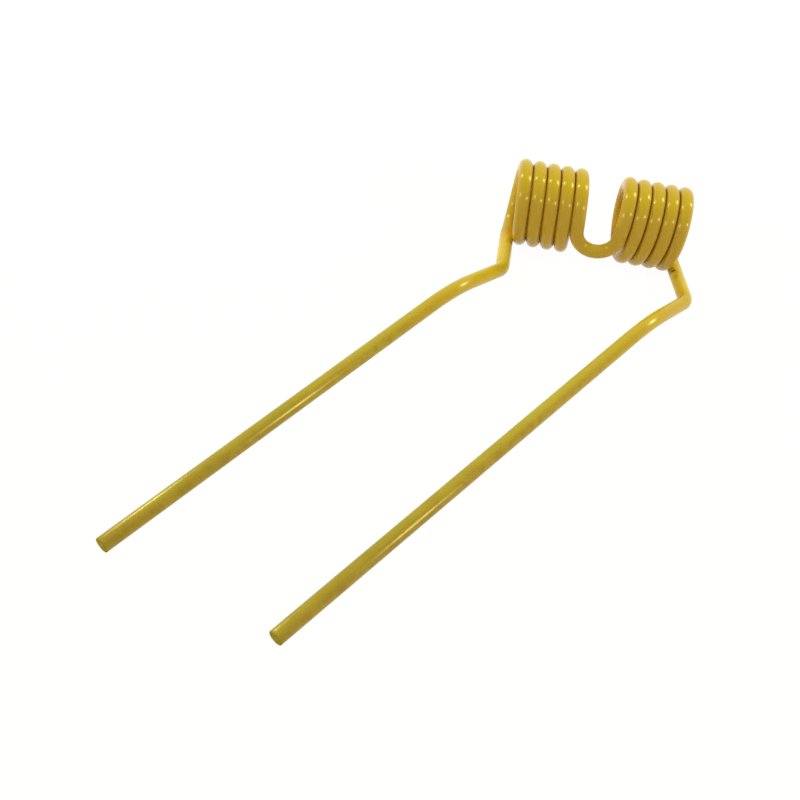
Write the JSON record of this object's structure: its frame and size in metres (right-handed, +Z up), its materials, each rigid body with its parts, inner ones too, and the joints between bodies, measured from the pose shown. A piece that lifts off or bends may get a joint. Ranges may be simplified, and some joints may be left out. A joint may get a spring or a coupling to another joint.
{
  "type": "rake tine",
  "caption": "Sprung double rake tine of round wire: mirror-wound coils joined by a narrow bridge, with long legs swept to one side.",
  "frame": {"origin": "centre of the tine's outline on the floor it lies on", "axes": "+X along the coils, from the shorter leg's coil to the longer leg's; -Y the way the legs reach; +Z up, with the tine lying at rest on both coils and the longer leg's tip"},
  "size_m": [0.3084, 0.366, 0.0574],
  "materials": {
    "enamel": "gloss yellow enamel on spring steel"
  },
  "bodies": {
    "root": {"tine": "enamel"}
  },
  "joints": []
}
